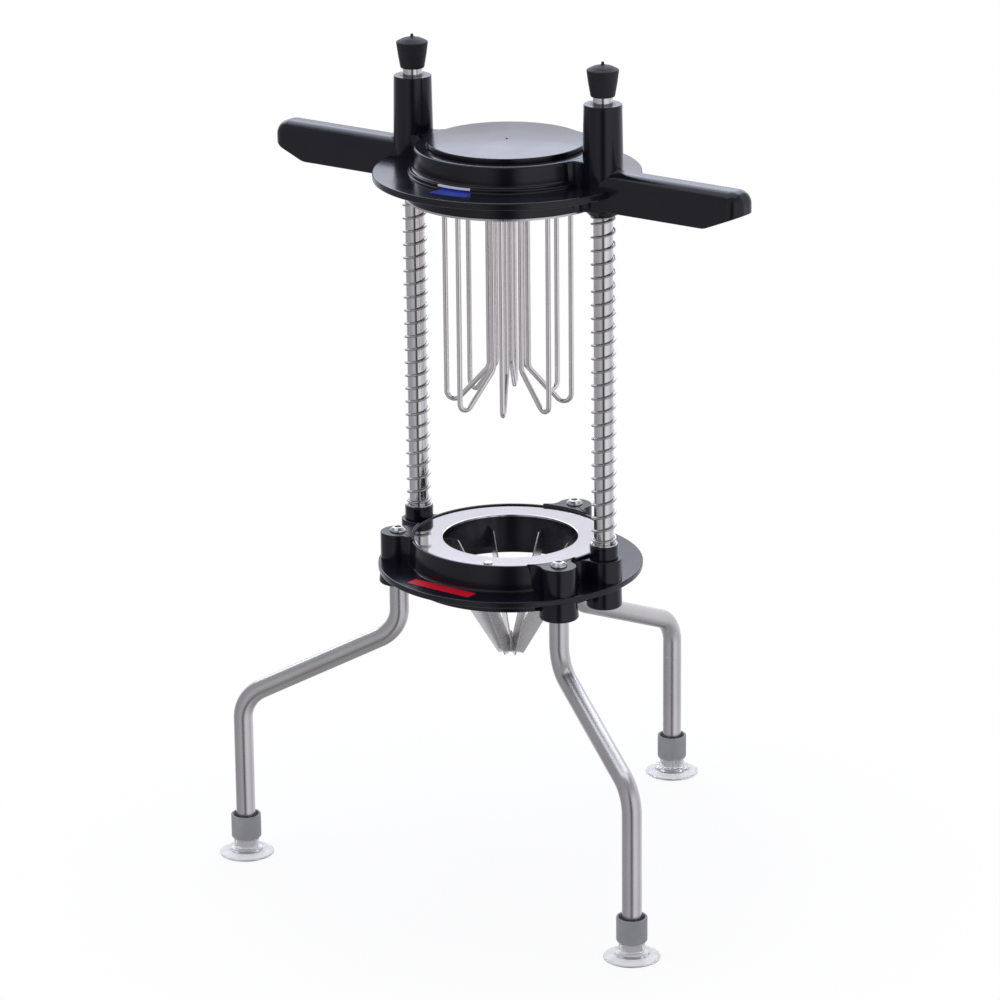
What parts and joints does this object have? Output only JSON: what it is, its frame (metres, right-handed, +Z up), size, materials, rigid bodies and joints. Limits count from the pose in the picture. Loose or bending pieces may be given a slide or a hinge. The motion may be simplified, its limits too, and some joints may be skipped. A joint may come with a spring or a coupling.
{
  "type": "fruit wedger press",
  "caption": "Hand press on three bent legs: a two-handled head slides on sprung guide rods and pushes a fruit through blades set in a V-shaped nest.",
  "frame": {"origin": "middle of the footprint, at the height of the surface that the feet stand on", "axes": "+Z up along the guide rods, +X along the two handles to the right, +Y towards the single rear leg"},
  "size_m": [0.3966, 0.3495, 0.6068],
  "materials": {
    "black_moulding": "satin moulded",
    "black_rubber": "matte",
    "grey_rubber": "matte",
    "clear_cup": "clear soft plastic",
    "bush_plastic": "matte",
    "satin_steel": "satin",
    "spring_wire": "drawn wire",
    "blade_steel": "ground",
    "polished_steel": "polished"
  },
  "bodies": {
    "stand": {"base_moulding": "black_moulding", "blade_plate": "polished_steel", "plate_peg": "polished_steel", "blade_holder": "black_moulding", "wedge_blade_1": "blade_steel", "wedge_blade_2": "blade_steel", "wedge_blade_3": "blade_steel", "wedge_blade_4": "blade_steel", "wedge_blade_5": "blade_steel", "wedge_blade_6": "blade_steel", "wedge_blade_7": "blade_steel", "wedge_blade_8": "blade_steel", "blade_core": "blade_steel", "left_guide_rod": "satin_steel", "left_spring_collar": "black_moulding", "left_knob_cap": "black_rubber", "left_return_spring": "spring_wire", "right_guide_rod": "satin_steel", "right_spring_collar": "black_moulding", "right_knob_cap": "black_rubber", "right_return_spring": "spring_wire", "spring_washers": "polished_steel", "rod_screws": "polished_steel", "front_left_leg": "satin_steel", "front_left_foot_sleeve": "grey_rubber", "front_left_suction_cup": "clear_cup", "front_right_leg": "satin_steel", "front_right_foot_sleeve": "grey_rubber", "front_right_suction_cup": "clear_cup", "rear_leg": "satin_steel", "rear_foot_sleeve": "grey_rubber", "rear_suction_cup": "clear_cup", "leg_plugs": "satin_steel", "leg_screws": "polished_steel"},
    "head": {"press_head": "black_moulding", "head_cover": "black_moulding", "left_upper_bush": "bush_plastic", "left_lower_bush": "bush_plastic", "right_upper_bush": "bush_plastic", "right_lower_bush": "bush_plastic", "pusher_plate": "satin_steel", "pusher_screws": "polished_steel", "pusher_finger_1": "satin_steel", "pusher_finger_2": "satin_steel", "pusher_finger_3": "satin_steel", "pusher_finger_4": "satin_steel", "pusher_finger_5": "satin_steel", "pusher_finger_6": "satin_steel", "pusher_finger_7": "satin_steel", "pusher_finger_8": "satin_steel"}
  },
  "joints": [
    {"name": "head_press", "type": "slide", "parent": "stand", "child": "head", "axis": [0, 0, 1], "range_m": [-0.19, 0.005], "stiffness_N_per_m": 300, "springref_m": 0.0315, "deforming": ["left_return_spring", "right_return_spring"]}
  ]
}
